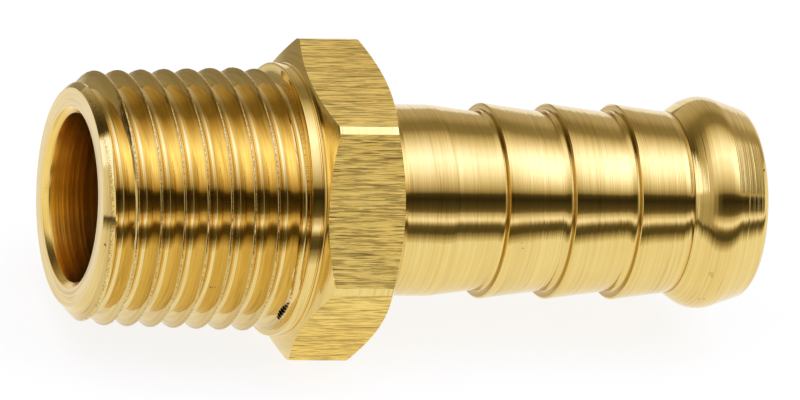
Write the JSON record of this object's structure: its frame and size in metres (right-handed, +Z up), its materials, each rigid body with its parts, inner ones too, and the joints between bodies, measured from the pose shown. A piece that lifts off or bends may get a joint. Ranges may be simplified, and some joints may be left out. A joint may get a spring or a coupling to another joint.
{
  "type": "hose tail fitting",
  "caption": "Brass hose tail: male taper pipe thread, hexagon and barbed tail with a bulb end on one through bore.",
  "frame": {"origin": "centre of the inlet face at the thread end, on the bore axis", "axes": "+X along the bore from the thread end to the hose end; +Z up, with one hexagon flat facing -Z, on which the part lies; Y across"},
  "size_m": [0.0265, 0.012, 0.0106],
  "materials": {
    "brass": "bright turned brass, hexagon flats as drawn"
  },
  "bodies": {
    "root": {"hose_tail": "brass"}
  },
  "joints": []
}
